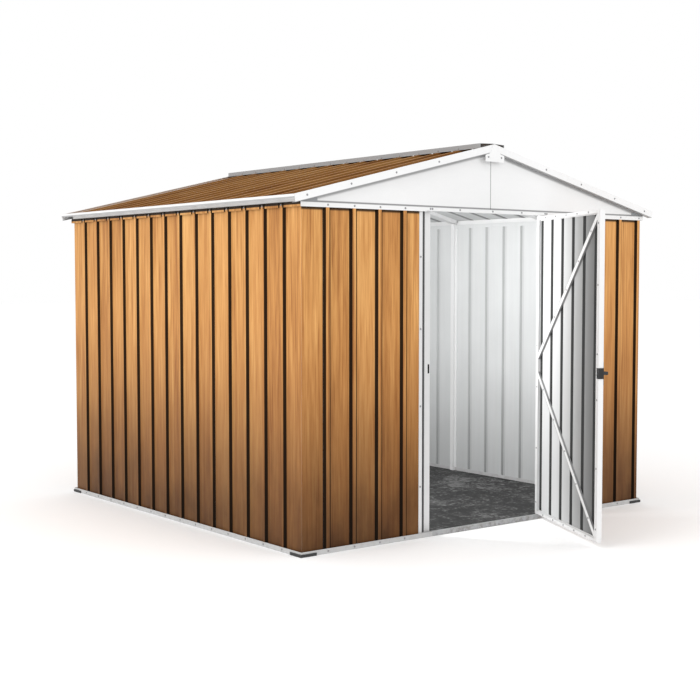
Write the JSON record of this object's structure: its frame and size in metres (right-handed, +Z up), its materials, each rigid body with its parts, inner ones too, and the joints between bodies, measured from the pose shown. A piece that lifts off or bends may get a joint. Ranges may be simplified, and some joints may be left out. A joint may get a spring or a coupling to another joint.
{
  "type": "metal garden shed",
  "caption": "Ribbed steel garden shed with a low pitched roof, white rails and trims, and a braced door that swings outward from its right jamb.",
  "frame": {"origin": "centre of the shed's footprint at ground level, on the underside of the floor panel", "axes": "+Z up, +X to the right as seen from the front, and the front with its door faces -Y"},
  "size_m": [2.756, 3.4009, 2.1668],
  "materials": {
    "wood_print": "semi-gloss wood-grain print on ribbed sheet",
    "white_trim": "satin white paint",
    "grey_metal": "satin grey paint",
    "floor_dark": "matt, mottled dark grey",
    "black_plastic": "matt",
    "black_gloss": "gloss",
    "pin_steel": "zinc plated"
  },
  "bodies": {
    "shed": {"floor_panel": "floor_dark", "front_base_rails": "white_trim", "back_base_rail": "white_trim", "left_base_rail": "white_trim", "right_base_rail": "white_trim", "door_sill": "grey_metal", "corner_shoes": "black_plastic", "front_left_corner_sheet": "wood_print", "front_right_corner_sheet": "wood_print", "back_left_corner_sheet": "wood_print", "back_right_corner_sheet": "wood_print", "front_left_sheet": "wood_print", "front_right_sheet": "wood_print", "left_wall_sheet": "wood_print", "right_wall_sheet": "wood_print", "back_wall_sheet": "wood_print", "left_jamb": "white_trim", "right_jamb": "white_trim", "latch_strike": "black_gloss", "door_pivots": "pin_steel", "front_top_rail": "white_trim", "back_top_rail": "white_trim", "left_top_rail": "white_trim", "right_top_rail": "white_trim", "left_eave_beam": "white_trim", "right_eave_beam": "white_trim", "wall_posts": "white_trim", "front_rafter": "white_trim", "back_rafter": "white_trim", "front_gable": "white_trim", "back_gable": "white_trim", "left_roof_sheet": "wood_print", "right_roof_sheet": "wood_print", "ridge_cap": "grey_metal", "front_rake_trims": "white_trim", "back_rake_trims": "white_trim", "left_eave_trim": "white_trim", "right_eave_trim": "white_trim", "apex_plates": "white_trim"},
    "door": {"door_sheet": "wood_print", "door_hinge_stile": "white_trim", "door_free_stile": "white_trim", "door_top_rail": "white_trim", "door_bottom_rail": "white_trim", "door_braces": "white_trim", "door_handle": "black_gloss"}
  },
  "joints": [
    {"name": "door_hinge", "type": "hinge", "parent": "shed", "child": "door", "pos_m": [0.405, -1.2785, 0], "axis": [0, 0, 1], "range_deg": [-65, 45]}
  ]
}
